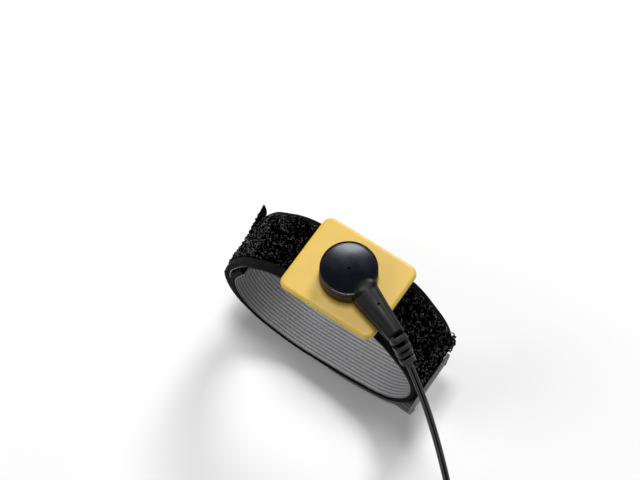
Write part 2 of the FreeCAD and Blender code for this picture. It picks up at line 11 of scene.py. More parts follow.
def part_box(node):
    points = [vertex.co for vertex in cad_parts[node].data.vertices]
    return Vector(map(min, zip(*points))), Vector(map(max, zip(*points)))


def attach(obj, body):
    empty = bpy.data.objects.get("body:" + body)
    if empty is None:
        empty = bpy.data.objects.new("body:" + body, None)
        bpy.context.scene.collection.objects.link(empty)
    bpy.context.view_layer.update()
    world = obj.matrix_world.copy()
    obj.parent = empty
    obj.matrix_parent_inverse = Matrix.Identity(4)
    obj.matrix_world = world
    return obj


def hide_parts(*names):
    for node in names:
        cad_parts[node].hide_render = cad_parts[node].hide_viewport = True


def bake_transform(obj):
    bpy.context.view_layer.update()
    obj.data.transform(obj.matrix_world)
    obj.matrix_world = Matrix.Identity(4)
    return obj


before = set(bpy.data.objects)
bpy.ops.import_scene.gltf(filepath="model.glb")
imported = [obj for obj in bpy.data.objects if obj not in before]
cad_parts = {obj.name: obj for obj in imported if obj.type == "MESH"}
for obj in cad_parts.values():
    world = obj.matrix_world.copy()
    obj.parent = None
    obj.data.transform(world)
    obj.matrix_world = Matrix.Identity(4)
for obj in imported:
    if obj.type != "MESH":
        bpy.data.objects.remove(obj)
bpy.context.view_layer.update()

MM = 0.001
PLATE_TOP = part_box("cover_plate")[1][2] / MM
CAP_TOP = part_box("plug_cap")[1][2] / MM - PLATE_TOP
ARM_TURN = math.radians(-21.8)
CHANCE = np.random.default_rng(11)


# ---- camera, light and floor ----

CAMERA_AIM = (-12.2, 4.5, PLATE_TOP)
CAMERA_AZIMUTH = math.radians(34.2)
CAMERA_ELEVATION = math.radians(65.7)
CAMERA_DISTANCE = 500.0
LENS = 105.5
SKY_STRENGTH = 0.17
LIGHT_AIM = Vector((0, 0, 0.04))
# In metres: how far to the right, toward the camera and up a lamp stands, then its size and its power.
LIGHTS = {
    "key": (0.38, -0.85, 0.7, 0.4, 9),
    "top": (0, -0.168, 1.0, 0.27, 4.0),
    "fill": (-0.9, 0.1, 0.7, 0.8, 3.6),
}
FLOOR_HALF = 1.5
FLOOR_WHITE = (0.93, 0.93, 0.93)


def add_camera():
    """The camera, and its right and back directions."""
    a, e = CAMERA_AZIMUTH, CAMERA_ELEVATION
    right = Vector((math.cos(a), math.sin(a), 0))
    back = Vector((math.sin(a) * math.cos(e), -math.cos(a) * math.cos(e), math.sin(e)))
    up = back.cross(right)
    place = Matrix((right, up, back)).transposed().to_4x4()
    place.translation = (Vector(CAMERA_AIM) + back * CAMERA_DISTANCE) * MM
    data = bpy.data.cameras.new("camera")
    data.lens = LENS
    data.clip_start = 0.01
    camera = bpy.data.objects.new("camera", data)
    camera.matrix_world = place
    bpy.context.scene.collection.objects.link(camera)
    bpy.context.scene.camera = camera
    return right, back


def add_light(name, place, size, power):
    data = bpy.data.lights.new(name, "AREA")
    data.shape = "DISK"
    data.size = size
    data.energy = power
    lamp = bpy.data.objects.new(name, data)
    away = place - LIGHT_AIM
    lamp.matrix_world = Matrix.Translation(place) @ away.to_track_quat("Z", "Y").to_matrix().to_4x4()
    bpy.context.scene.collection.objects.link(lamp)


def add_stage(right, back):
    world = bpy.data.worlds.new("studio")
    world.use_nodes = True
    sky = world.node_tree.nodes["Background"]
    sky.inputs["Color"].default_value = (1, 1, 1, 1)
    sky.inputs["Strength"].default_value = SKY_STRENGTH
    bpy.context.scene.world = world
    bpy.context.scene.view_settings.view_transform = "Standard"
    toward = Vector((back.x, back.y, 0)).normalized()
    for name, (aside, ahead, height, size, power) in LIGHTS.items():
        add_light(name, right * aside + toward * ahead + Vector((0, 0, height)), size, power)
    far = FLOOR_HALF
    corners = [(-far, -far, 0), (far, -far, 0), (far, far, 0), (-far, far, 0)]
    floor = mesh_object("floor", corners, [(0, 1, 2, 3)], 40)
    floor.data.materials.append(plain_material("floor", FLOOR_WHITE, 0.95))


# ---- meshes ----

CORNER_SHARE = 0.49  # a rounded corner takes less than half of a side, so that two never meet
SHARP_TIP = 0.001


def mesh_object(name, points, faces, smooth_below):
    """A mesh object from points in metres."""
    mesh = bpy.data.meshes.new(name)
    mesh.from_pydata([tuple(p) for p in points], [], faces)
    mesh.update()
    made = bpy.data.objects.new(name, mesh)
    bpy.context.scene.collection.objects.link(made)
    smooth(made, smooth_below)
    return made


def smooth(made, below):
    """Shades a mesh smooth, but for the edges whose faces meet at more than an angle in degrees."""
    made.data.polygons.foreach_set("use_smooth", [True] * len(made.data.polygons))
    made.data.set_sharp_from_angle(angle=math.radians(below))


def skin_faces(rings, sides, start=0):
    """The faces of a closed skin over rings of points: quads between them, and a cap at each end."""
    last = start + (rings - 1) * sides
    faces = []
    for i in range(start, last, sides):
        for j in range(sides):
            k = (j + 1) % sides
            faces.append((i + j, i + k, i + sides + k, i + sides + j))
    faces.append(tuple(reversed(range(start, start + sides))))
    faces.append(tuple(range(last, last + sides)))
    return faces


def skin_object(name, rings, smooth_below=40.0):
    """A closed skin over rings of points in metres."""
    rings = np.asarray(rings, float)
    return mesh_object(name, rings.reshape(-1, 3), skin_faces(*rings.shape[:2]), smooth_below)


def rounded(corners, radius, steps):
    """An open 2-D outline with its inner corners rounded; radius is a number or one per corner."""
    corners = [np.array(c, float) for c in corners]
    radii = radius if isinstance(radius, (list, tuple)) else [radius] * (len(corners) - 2)
    made = [corners[0]]
    for before, corner, after, r in zip(corners, corners[1:], corners[2:], radii):
        back, ahead = before - corner, after - corner
        reach = min(r, CORNER_SHARE * min(np.linalg.norm(back), np.linalg.norm(ahead)))
        start = corner + back / np.linalg.norm(back) * reach
        end = corner + ahead / np.linalg.norm(ahead) * reach
        for t in np.linspace(0, 1, steps):
            made.append((1 - t) ** 2 * start + 2 * t * (1 - t) * corner + t * t * end)
    made.append(corners[-1])
    return np.array(made)


def lathe(name, profile, steps):
    """A body of revolution about z in millimetres from (radius, height) points, closed on its axis."""
    turn = np.linspace(0, 2 * math.pi, steps, endpoint=False)
    rows = []
    for r, h in profile:
        r = max(r, SHARP_TIP)
        rows.append(np.stack([r * np.cos(turn), r * np.sin(turn), np.full(steps, h)], axis=1))
    return skin_object(name, np.array(rows) * MM)


def move(made, place):
    """Moves a piece's mesh, so that its object stays at the origin."""
    made.data.transform(place)
    made.data.update()
    return made


def finished_skin(name, rows, finish, smooth_below, shade_finish=None, shaded_columns=None):
    """A closed skin with its material; the given columns of its quads get the painted shade material."""
    made = skin_object(name, rows, smooth_below)
    made.data.materials.append(finish)
    if shade_finish:
        made.data.materials.append(shade_finish)
        marks = np.tile(np.asarray(shaded_columns, int), len(rows) - 1).tolist()
        made.data.polygons.foreach_set("material_index", marks + [0, 0])
    return made


def boolean(made, tool, operation="DIFFERENCE"):
    """Cuts one piece with another, or joins them, and removes the second."""
    cut = made.modifiers.new("cut", "BOOLEAN")
    cut.object, cut.operation, cut.solver = tool, operation, "EXACT"
    shown = made.evaluated_get(bpy.context.evaluated_depsgraph_get())
    mesh = bpy.data.meshes.new_from_object(shown)
    made.modifiers.clear()
    made.data = mesh
    bpy.data.objects.remove(tool)
    return made


def refinish(made, name, finish, smooth_below):
    """Names a piece that booleans have changed, and gives it one material."""
    made.name = name
    made.data.materials.clear()
    made.data.materials.append(finish)
    smooth(made, smooth_below)


def join(name, pieces):
    """One object from several, keeping their materials."""
    bm = bmesh.new()
    slots = []
    for piece in pieces:
        first = len(bm.faces)
        bm.from_mesh(piece.data)
        bm.faces.ensure_lookup_table()
        base = len(slots)
        slots += list(piece.data.materials)
        for face in bm.faces[first:]:
            face.material_index += base
    mesh = bpy.data.meshes.new(name)
    bm.to_mesh(mesh)
    bm.free()
    for slot in slots:
        mesh.materials.append(slot)
    made = bpy.data.objects.new(name, mesh)
    bpy.context.scene.collection.objects.link(made)
    for piece in pieces:
        bpy.data.objects.remove(piece)
    return made


def place_plug():
    """Where the plug's own frame stands: on the plate, turned so that its x runs along the arm."""
    return Matrix.Translation((0, 0, PLATE_TOP * MM)) @ Matrix.Rotation(ARM_TURN, 4, "Z")


# ---- materials ----

RIB_PITCH = 1.0


def plain_material(name, colour, roughness, **sockets):
    """A material with constant values set on its shader's own sockets."""
    made = bpy.data.materials.new(name)
    made.use_nodes = True
    shader = made.node_tree.nodes["Principled BSDF"]
    shader.inputs["Base Color"].default_value = (*colour, 1)
    shader.inputs["Roughness"].default_value = roughness
    for key, value in sockets.items():
        shader.inputs[key.replace("_", " ")].default_value = value
    return made


class Nodes:
    """Short calls for the few node kinds that the materials use."""

    def __init__(self, made):
        self.tree = made.node_tree
        self.shader = self.tree.nodes["Principled BSDF"]
        self.place = self.tree.nodes.new("ShaderNodeTexCoord").outputs["Object"]

    def link(self, out, socket):
        self.tree.links.new(out, socket)

    def feed(self, socket, value):
        self.link(value, self.shader.inputs[socket])

    def noise(self, scale, detail=3.0, place=None):
        node = self.tree.nodes.new("ShaderNodeTexNoise")
        node.inputs["Scale"].default_value = scale
        node.inputs["Detail"].default_value = detail
        self.link(place or self.place, node.inputs["Vector"])
        return node.outputs["Fac"]

    def stretch(self, scale):
        node = self.tree.nodes.new("ShaderNodeMapping")
        node.inputs["Scale"].default_value = scale
        self.link(self.place, node.inputs["Vector"])
        return node.outputs["Vector"]

    def ramp(self, value, stops):
        node = self.tree.nodes.new("ShaderNodeValToRGB")
        while len(node.color_ramp.elements) < len(stops):
            node.color_ramp.elements.new(0.5)
        for element, (at, colour) in zip(node.color_ramp.elements, stops):
            element.position = at
            element.color = (*colour, 1)
        self.link(value, node.inputs["Fac"])
        return node.outputs["Color"]

    def span(self, value, low, high, start=0.0, end=1.0):
        node = self.tree.nodes.new("ShaderNodeMapRange")
        node.inputs["From Min"].default_value = start
        node.inputs["From Max"].default_value = end
        node.inputs["To Min"].default_value = low
        node.inputs["To Max"].default_value = high
        self.link(value, node.inputs["Value"])
        return node.outputs["Result"]

    def sum(self, a, b, operation="ADD"):
        node = self.tree.nodes.new("ShaderNodeMath")
        node.operation = operation
        self.link(a, node.inputs[0])
        self.link(b, node.inputs[1])
        return node.outputs[0]

    def bump(self, height, strength, depth_mm):
        node = self.tree.nodes.new("ShaderNodeBump")
        node.inputs["Strength"].default_value = strength
        node.inputs["Distance"].default_value = depth_mm * MM
        self.link(height, node.inputs["Height"])
        self.feed("Normal", node.outputs["Normal"])


def moulded(name, dark, light, rough, depth=0.02, **sockets):
    """Moulded plastic or rubber: fine spark-eroded grain, faint flow clouds and rubbed patches."""
    made = plain_material(name, dark, rough[0], **sockets)
    n = Nodes(made)
    clouds = n.noise(90.0, 4.0)
    n.feed("Base Color", n.ramp(clouds, [(0.35, dark), (0.7, light)]))
    rub = n.noise(260.0, 6.0)
    n.feed("Roughness", n.span(rub, rough[0], rough[1], 0.3, 0.7))
    n.bump(n.sum(n.noise(2600.0, 2.0), n.span(rub, 0.0, 0.4)), 0.5, depth)
    return made


def metal(name, colour, rough=(0.18, 0.34), brushed=(1, 1, 1)):
    """Metal with fine lines across the directions that are brushed more, and faint smears."""
    made = plain_material(name, colour, rough[0], Metallic=1.0)
    n = Nodes(made)
    lines = n.noise(3000.0, 3.0, n.stretch(brushed))
    smear = n.noise(240.0, 5.0)
    n.feed("Roughness", n.span(n.sum(lines, smear, "MULTIPLY"), *rough, 0.1, 0.5))
    tone = [tuple(c * k for c in colour) for k in (0.82, 1.0)]
    n.feed("Base Color", n.ramp(smear, [(0.3, tone[0]), (0.65, tone[1])]))
    n.bump(lines, 0.4, 0.006)
    return made


def cloth(name, dark, light, scale=1400.0, depth=0.05, **sockets):
    """Yarn: colour and height that vary fibre by fibre."""
    made = plain_material(name, dark, 0.8, **sockets)
    n = Nodes(made)
    fibres = n.noise(scale, 4.0)
    dust = n.noise(500.0, 6.0)
    n.feed("Base Color", n.ramp(n.sum(fibres, dust, "MULTIPLY"), [(0.12, dark), (0.5, light)]))
    n.feed("Roughness", n.span(fibres, 0.75, 0.95))
    n.bump(fibres, 0.6, depth)
    return made


def glossy_yarn(name, dark, light):
    """Filament yarn: some curls catch the light, the others stay black."""
    made = plain_material(name, dark, 0.3)
    n = Nodes(made)
    curls = n.noise(700.0, 2.0)
    fibres = n.noise(2600.0, 3.0)
    n.feed("Base Color", n.ramp(curls, [(0.4, dark), (0.7, light)]))
    n.feed("Specular IOR Level", n.span(curls, 0.0, 0.68, 0.45, 0.68))
    n.feed("Roughness", n.span(fibres, 0.24, 0.42))
    n.bump(fibres, 0.5, 0.02)
    return made


def ribbed_knit(name, dark, light):
    """Silvered knit: ribs along the strap, painted darker between them as shade in the hollows, and
    stitches that vary in tone.
    """
    made = plain_material(name, light, 0.6, Metallic=0.35)
    n = Nodes(made)
    ribs = n.tree.nodes.new("ShaderNodeTexWave")
    ribs.bands_direction = "Y"
    ribs.inputs["Scale"].default_value = 0.1 * math.pi / (RIB_PITCH * MM)
    ribs.inputs["Distortion"].default_value = 0.6
    ribs.inputs["Detail Scale"].default_value = 4.0
    n.link(n.place, ribs.inputs["Vector"])
    stitches = n.noise(1500.0, 3.0)
    # The wave bands paint the knit darker between its ribs, as shade in the hollows; the stitch noise is
    # random tone.
    tone = n.sum(n.span(ribs.outputs["Fac"], 0.25, 0.8), n.span(stitches, 0.0, 0.35))
    n.feed("Base Color", n.ramp(tone, [(0.3, dark), (1.0, light)]))
    n.feed("Roughness", n.span(stitches, 0.45, 0.7))
    n.bump(tone, 0.6, 0.08)
    return made


YELLOW = moulded("yellow_plastic", (0.69, 0.452, 0.066), (0.73, 0.482, 0.075), (0.38, 0.5), depth=0.012)
CAP_BLACK = moulded("cap_plastic", (0.0006, 0.0009, 0.0030), (0.0014, 0.0018, 0.0048), (0.11, 0.15),
                    depth=0.004, Specular_IOR_Level=0.29, Specular_Tint=(0.86, 0.91, 1.0, 1.0))
ARM_BLACK = moulded("arm_plastic", (0.003, 0.003, 0.0040), (0.005, 0.005, 0.0062), (0.36, 0.48),
                    depth=0.012, Specular_IOR_Level=0.2)
RUBBER = moulded("relief_rubber", (0.008, 0.008, 0.0085), (0.014, 0.014, 0.015), (0.42, 0.56))
JACKET = moulded("cord_jacket", (0.027, 0.027, 0.0275), (0.039, 0.039, 0.039), (0.26, 0.38), depth=0.006)
NICKEL = metal("nickel_plate", (0.72, 0.70, 0.66))
STEEL = metal("brushed_steel", (0.62, 0.62, 0.61), (0.24, 0.42), (1, 12, 12))
SPRING = metal("spring_wire", (0.55, 0.55, 0.56), (0.2, 0.36), (1, 1, 14))
BRASS = metal("tinned_brass", (0.72, 0.62, 0.42))
COPPER = metal("copper_strands", (0.80, 0.42, 0.26), (0.25, 0.4), (1, 30, 30))
PILE = glossy_yarn("pile_yarn", (0.0003, 0.0003, 0.0004), (0.003, 0.003, 0.0034))
# Painted shade: a near-black material without reflection, put under the pile, in the cord's groove, in
# the cap's gate mark and on the relief's core, where shade falls.
PAINTED_SHADE = cloth("painted_shade", (0.0002, 0.0002, 0.0002), (0.0008, 0.0008, 0.0009), Specular_IOR_Level=0.0)
WEBBING = cloth("woven_base", (0.001, 0.001, 0.0012), (0.0055, 0.0055, 0.0063), Specular_IOR_Level=0.1)
# The tab's grey is partly its own colour and partly painted sheen: its base colour is lightened to stand
# in for the sheen on its woven back.
TAB_CLOTH = cloth("tab_weave", (0.165, 0.16, 0.16), (0.26, 0.252, 0.253), scale=2600.0,
                  Specular_IOR_Level=0.2)
THREAD = cloth("thread", (0.006, 0.006, 0.007), (0.03, 0.03, 0.032), scale=4000.0, depth=0.02)
KNIT = ribbed_knit("conductive_knit", (0.10, 0.10, 0.105), (0.34, 0.34, 0.35))
CERAMIC = moulded("resistor_lacquer", (0.42, 0.30, 0.16), (0.55, 0.42, 0.24), (0.3, 0.45))


# ---- the cord ----

CORD_WIDTH = 2.0
CORD_LOBE = 0.42
LOBE_POINTS = 11
LOBE_GAP = 0.3
HIDDEN_START = 2.5
FLOOR_LEVEL = 0.56
# The cord's route before and after its coil.
RUN = (
    (26.4, -10.55, 47.0),
    (30.1, -12.05, 41.9),
    (35.3, -14.6, 35.2),
    (42.0, -18.3, 24.0),
    (49.0, -22.6, 10.0),
    (56.5, -29.0, FLOOR_LEVEL),
    (61.5, -38.5, FLOOR_LEVEL),
    (62.3, -45.6, 0.8),
)
TAIL = (
    (62.0, -56.6, 6.6),
    (62.6, -63.0, 3.2),
    (61.0, -69.6, 0.9),
    (56.2, -74.0, 2.2),
    (49.5, -75.0, 4.2),
)
COIL_CENTRE = (46.0, -51.0)
COIL_LAYERS = 6
TURNS_A_LAYER = 3.5
POINTS_A_TURN = 14
COIL_OUTSIDE = 16.0
TURN_PITCH = 2.0
LAYER_PITCH = 1.16
LAYER_STEP = 0.3
TIE_THICK = 0.5


def coil_points():
    """Flat spirals laid on each other, wound in and out by turns, with a short climb between them."""
    made = []
    for i in range(int(COIL_LAYERS * TURNS_A_LAYER * POINTS_A_TURN) + 1):
        turn = i / POINTS_A_TURN
        layer = min(int(turn / TURNS_A_LAYER), COIL_LAYERS - 1)
        within = turn - layer * TURNS_A_LAYER
        climb = np.clip((within + LAYER_STEP / 2) / LAYER_STEP, 0, 1) if layer else 1
        inward = within if layer % 2 == 0 else TURNS_A_LAYER - within
        radius = COIL_OUTSIDE - TURN_PITCH * inward
        height = FLOOR_LEVEL + TIE_THICK + LAYER_PITCH * (layer - 1 + climb)
        angle = -2 * math.pi * turn
        made.append((COIL_CENTRE[0] + radius * math.cos(angle),
                     COIL_CENTRE[1] + radius * math.sin(angle), height))
    return made


def nurbs_line(name, points):
    """The points of a smooth spline of order 3 whose control points are the route."""
    curve = bpy.data.curves.new(name, "CURVE")
    curve.dimensions = "3D"
    curve.resolution_u = 6
    spline = curve.splines.new("NURBS")
    spline.points.add(len(points) - 1)
    for point, (x, y, z) in zip(spline.points, points):
        point.co = (x * MM, y * MM, z * MM, 1)
    spline.order_u = 3
    spline.use_endpoint_u = True
    holder = bpy.data.objects.new(name, curve)
    bpy.context.scene.collection.objects.link(holder)
    bpy.context.view_layer.update()
    mesh = bpy.data.meshes.new_from_object(holder.evaluated_get(bpy.context.evaluated_depsgraph_get()))
    line = np.array([v.co for v in mesh.vertices])
    bpy.data.objects.remove(holder)
    bpy.data.meshes.remove(mesh)
    return line


def twin_section():
    """Two round cores side by side with a narrow web between, as (across, up) in millimetres."""
    reach = CORD_WIDTH / 2 - CORD_LOBE
    made = []
    for side in (1, -1):
        for t in np.linspace(LOBE_GAP - math.pi, math.pi - LOBE_GAP, LOBE_POINTS):
            made.append((side * (reach + CORD_LOBE * math.cos(t)), side * CORD_LOBE * math.sin(t)))
    return np.array(made)


def flat_frames(line):
    """The level side vector and the upper vector at each point of a line that never stands upright."""
    along = np.gradient(line, axis=0)
    along /= np.linalg.norm(along, axis=1, keepdims=True)
    side = np.cross((0.0, 0.0, 1.0), along)
    side /= np.linalg.norm(side, axis=1, keepdims=True)
    return side, np.cross(along, side)


def build_cord():
    """The jacket, from inside the strain relief to the banana plug, and the line it follows."""
    line = nurbs_line("cord_route", [*RUN, *coil_points(), *TAIL])
    inside = line[0] + (line[0] - line[1]) / np.linalg.norm(line[0] - line[1]) * HIDDEN_START * MM
    shown = np.concatenate([[inside], line])
    side, over = flat_frames(shown)
    section = twin_section() * MM
    rows = shown[:, None] + section[None, :, :1] * side[:, None] + section[None, :, 1:] * over[:, None]
    # Painted shade: the web faces between the two cores get the black shade material, as a dark line of
    # shade down the groove.
    groove_shade = np.arange(len(section)) % LOBE_POINTS == LOBE_POINTS - 1
    cord = finished_skin("twin_cord", rows, JACKET, 60, PAINTED_SHADE, groove_shade)
    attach(cord, "plug")
    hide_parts("cord", "cord_coil", "cord_tail")
    return cord, line


# ---- the strap: where its layers run ----

# The corners of the loop's outer surface, as x and the height over the plate's top.
LOOP = {
    "top_right": (13.6, -1.5),
    "edge_right": (18.4, -4.9),
    "shoulder_right": (26.5, -15.4),
    "side_right": (30.3, -24.6),
    "low_right": (29.4, -35.5),
    "heel_right": (21.8, -46.0),
    "foot_right": (8.0, -51.0),
    "foot_left": (-13.0, -51.0),
    "heel_left": (-27.0, -46.3),
    "low_left": (-34.6, -37.5),
    "side_left": (-36.6, -26.0),
    "shoulder_left": (-31.6, -15.2),
    "edge_left": (-24.6, -6.2),
    "top_left": (-17.3, -1.5),
}
STRAP_WIDTH = 19.0
BAND_THICK = 1.6
OUTER_LAYER = BAND_THICK / 2
INNER_LAYER = 3.25
HEEL_LAYER = 2.7
SIDE_LAYER = 2.1
# The band's middle line from its inner end round to its outer end: a corner, and the depth inside it.
BAND = (
    *((name, INNER_LAYER) for name in ("shoulder_left", "side_left", "low_left", "heel_left")),
    ("foot_left", 3.3), ("foot_right", 4.6), ("heel_right", HEEL_LAYER), ("low_right", 2.8),
    ("side_right", SIDE_LAYER),
    *((name, OUTER_LAYER) for name in (
        "shoulder_right", "edge_right", "top_right", "top_left", "edge_left", "shoulder_left",
        "side_left", "low_left", "heel_left", "foot_left", "foot_right",
    )),
)
BASE_THICK = 1.25
LINING_THICK = 0.3
TAB_THICK = 1.1
TAB_SHIFT = -3.4
TAB_REACH = 8.3


def below_surface(name, depth):
    """A point a depth inside the loop's outer surface at one of its corners, as (x, z)."""
    names = list(LOOP)
    i = names.index(name)
    corner = np.array(LOOP[name])
    before = np.array(LOOP[names[i - 1]]) - corner
    after = np.array(LOOP[names[(i + 1) % len(names)]]) - corner
    before /= np.linalg.norm(before)
    after /= np.linalg.norm(after)
    half_angle = math.acos(np.clip(before @ after, -1, 1)) / 2
    inward = (before + after) / np.linalg.norm(before + after)
    return corner + inward * depth / math.sin(half_angle) + np.array([0, PLATE_TOP])


def soft_route(corners, step, bend=9.0):
    """An even walk along the route with its corners rounded, as points, unit normals and distances."""
    line = rounded(corners, bend, 24)
    gaps = np.linalg.norm(np.diff(line, axis=0), axis=1)
    line = line[np.concatenate([[True], gaps > 1e-6])]
    far = np.concatenate([[0], np.cumsum(np.linalg.norm(np.diff(line, axis=0), axis=1))])
    walk = np.linspace(0, far[-1], int(far[-1] / step) + 1)
    points = np.stack([np.interp(walk, far, line[:, k]) for k in (0, 1)], axis=1)
    along = np.gradient(points, axis=0)
    along /= np.linalg.norm(along, axis=1, keepdims=True)
    outward = np.stack([along[:, 1], -along[:, 0]], axis=1)
    return points, outward, walk


def strap_rows(route, section):
    """Rows of points (metres) for a strap; a section point is (y, distance outward) in millimetres."""
    points, outward, _ = route
    rows = np.zeros((len(points), len(section), 3))
    rows[:, :, 0] = points[:, None, 0] + outward[:, None, 0] * section[None, :, 1]
    rows[:, :, 1] = section[None, :, 0]
    rows[:, :, 2] = points[:, None, 1] + outward[:, None, 1] * section[None, :, 1]
    return rows * MM


def on_route(route, s, d):
    """The x and z of places at distances along a route and outward from it."""
    points, outward, walk = route
    return [np.interp(s, walk, points[:, k]) + np.interp(s, walk, outward[:, k]) * d for k in (0, 1)]


def lift_columns(rows, route, columns, lift):
    """Raises some columns of a strap's rows off its face by a height in millimetres."""
    for k in (0, 1):
        rows[:, columns, 2 * k] += route[1][:, None, k] * lift * MM


# ---- the strap: woven base, pile and lining ----

STRAY = 0.9
STRAY_RUN = 11.0
SELVAGE = 2.3
SELVAGE_RISE = 0.28
EDGE_RISE = 0.22
WEFT_PITCH = 0.9
WARP_PITCH = 0.62
WEAVE_DEPTH = 0.045
RIB_DEPTH = 0.18
RIB_STITCH = 0.4
LINING_POINTS = 77
PILE_GROUND = BASE_THICK - BAND_THICK / 2
PILE_SPACING = 1.0
PILE_SCATTER = 0.34
PILE_RADIUS = 0.2
PILE_HEIGHT = 0.95
PILE_ROOT = 0.1
PILE_NEAR = -6.3
PILE_FAR = 8.3
PILE_START = 6.0
PLATE_GAP_RIGHT = 0.5
PLATE_GAP_LEFT = 5.5
CURL_REACH = (0.38, 0.70)
CURL_LOWEST = 0.35
CURL_LEAN = 0.35
CURL_THICK = (0.8, 1.2)
FRAYED_CURLS = 50
FRAYED_STRETCH = (-7, 3)
FRAYED_HEIGHT = 1.5
TAIL_TIP = 3.9
TAIL_ROOT = 2.0
TAIL_LIFT = 0.1
TAIL_THICK = 0.5
TAIL_TAPER = 5.0
TAIL_SHIFT = 0.9
TAIL_CURL = 2.6
TAIL_SLANT = 9.0
TAIL_RUN = 5.0
TAIL_PILE_HEIGHT = 0.6


def weave(walk, y, depth=WEAVE_DEPTH):
    """The height of a plain weave at distances along and across a strap."""
    return depth * np.cos(math.pi * walk / WEFT_PITCH) * np.cos(math.pi * y / WARP_PITCH)


def distance_at(route, name, depth):
    """How far along a route it passes one of the loop's corners, at the layer of that depth."""
    gaps = np.linalg.norm(route[0] - below_surface(name, depth), axis=1)
    return route[2][int(np.argmin(gaps))]


def stray(route, s):
    """How far the band strays to the far side where it comes over the left shoulder."""
    top = distance_at(route, "edge_left", OUTER_LAYER)
    past = np.clip((s - top) / STRAY_RUN, 0, 1)
    return STRAY * past * past * (3 - 2 * past)


def band_section():
    """The base's outline, fine over the selvages and coarse under the pile, and its face's points."""
    half = STRAP_WIDTH / 2
    inside = half - SELVAGE
    selvage = np.arange(inside, half - 0.25, 0.16)
    middle = np.arange(0.5, inside, 0.8)
    over = np.concatenate([-selvage[::-1], -middle[::-1], middle, selvage])
    rise = np.interp(np.abs(over), [inside - 0.4, inside, half], [0, SELVAGE_RISE, EDGE_RISE])
    bottom = -BAND_THICK / 2
    top = bottom + BASE_THICK
    face = np.stack([over, top + rise], axis=1)
    near_edge = [(half - 0.08, top + 0.12), (half, top - 0.1),
                 (half, bottom + 0.2), (half - 0.15, bottom)]
    far_edge = [(-y, d) for y, d in reversed(near_edge)]
    section = np.concatenate([face, near_edge, far_edge])
    return section, np.arange(len(face))


def build_band(route):
    """The woven base: bare over the selvages, and painted black and unreflecting under the pile, as
    shade between the curls.
    """
    section, face = band_section()
    rows = strap_rows(route, section)
    lift_columns(rows, route, face, weave(route[2][:, None], section[face][None, :, 0]))
    rows[:, :, 2] = np.maximum(rows[:, :, 2], 0.02 * MM)
    rows[:, :, 1] += stray(route, route[2])[:, None] * MM
    # Painted shade: the base's face between the selvages gets the black shade material, as shade in the
    # gaps between the curls.
    shaded_under_pile = np.zeros(len(section), bool)
    shaded_under_pile[face] = np.abs(section[face, 0]) < STRAP_WIDTH / 2 - SELVAGE
    return finished_skin("woven_base", rows, WEBBING, 70, PAINTED_SHADE, shaded_under_pile)


def pile_spots(first, last):
    """Scattered places for curls over a stretch of a strap, as distances along and across."""
    spots = [(s, y) for s in np.arange(first, last, PILE_SPACING)
             for y in np.arange(PILE_NEAR, PILE_FAR, PILE_SPACING)]
    scatter = CHANCE.uniform(-PILE_SCATTER, PILE_SCATTER, (len(spots), 2)) * PILE_SPACING
    return (np.array(spots) + scatter).T


def pile_loops(name, route, spot_s, spot_y, ground, tallest=PILE_HEIGHT):
    """Curled yarn loops standing on a face, each an arch of a short thin tube."""
    count = len(spot_s)
    turn = CHANCE.uniform(0, math.pi, count)
    reach = CHANCE.uniform(*CURL_REACH, count)
    height = CHANCE.uniform(CURL_LOWEST, tallest, count)
    lean = CHANCE.uniform(-CURL_LEAN, CURL_LEAN, (count, 2))
    thick = CHANCE.uniform(*CURL_THICK, count) * PILE_RADIUS
    t = np.linspace(0, 1, 7)
    arch = np.sin(math.pi * t)[None, :]
    swing = np.cos(math.pi * t)[None, :]
    s = spot_s[:, None] + reach[:, None] * swing * np.cos(turn)[:, None] + lean[:, 0, None] * arch
    y = spot_y[:, None] + reach[:, None] * swing * np.sin(turn)[:, None] + lean[:, 1, None] * arch
    x, z = on_route(route, s, ground[:, None] - PILE_ROOT + height[:, None] * arch**0.8)
    line = np.stack([x, y, np.maximum(z, 1.3 * PILE_RADIUS)], axis=2)
    return tubes(name, line, thick, 5, PILE)


def tubes(name, lines, radii, sides, finish):
    """Short thin tubes along many lines of the same number of points, as one mesh."""
    count, bends = lines.shape[:2]
    along = np.gradient(lines, axis=1)
    along /= np.linalg.norm(along, axis=2, keepdims=True)
    chord = lines[:, -1] - lines[:, 0]
    rise = lines[:, bends // 2] - (lines[:, 0] + lines[:, -1]) / 2
    flat = np.cross(chord, rise)
    flat /= np.maximum(np.linalg.norm(flat, axis=1, keepdims=True), 1e-9)
    flat = np.repeat(flat[:, None], bends, axis=1)
    over = np.cross(along, flat)
    turn = np.linspace(0, 2 * math.pi, sides, endpoint=False)
    ring = (flat[:, :, None] * np.cos(turn)[None, None, :, None]
            + over[:, :, None] * np.sin(turn)[None, None, :, None])
    verts = (lines[:, :, None] + ring * radii[:, None, None, None]).reshape(-1, 3) * MM
    faces = []
    for first in range(0, count * bends * sides, bends * sides):
        faces += skin_faces(bends, sides, first)
    made = mesh_object(name, verts, faces, 80)
    made.data.materials.append(finish)
    return made


def build_lining(route):
    """A thin ribbed knit on the side that faces the wrist."""
    half = STRAP_WIDTH / 2 - 0.35
    outer = -BAND_THICK / 2 + 0.02
    inner = outer - LINING_THICK
    across = np.linspace(-half, half, LINING_POINTS)
    face = np.stack([across, np.full(LINING_POINTS, inner)], axis=1)
    rows = strap_rows(route, np.concatenate([face, [(half, outer), (-half, outer)]]))
    ribs = np.abs(np.cos(math.pi * across[None] / RIB_PITCH))
    stitches = 0.7 + 0.3 * np.cos(math.pi * route[2][:, None] / RIB_STITCH)
    lift_columns(rows, route, np.arange(LINING_POINTS), -RIB_DEPTH * ribs * stitches)
    rows[:, :, 1] += stray(route, route[2])[:, None] * MM
    return finished_skin("knit_lining", rows[:, ::-1], KNIT, 70)


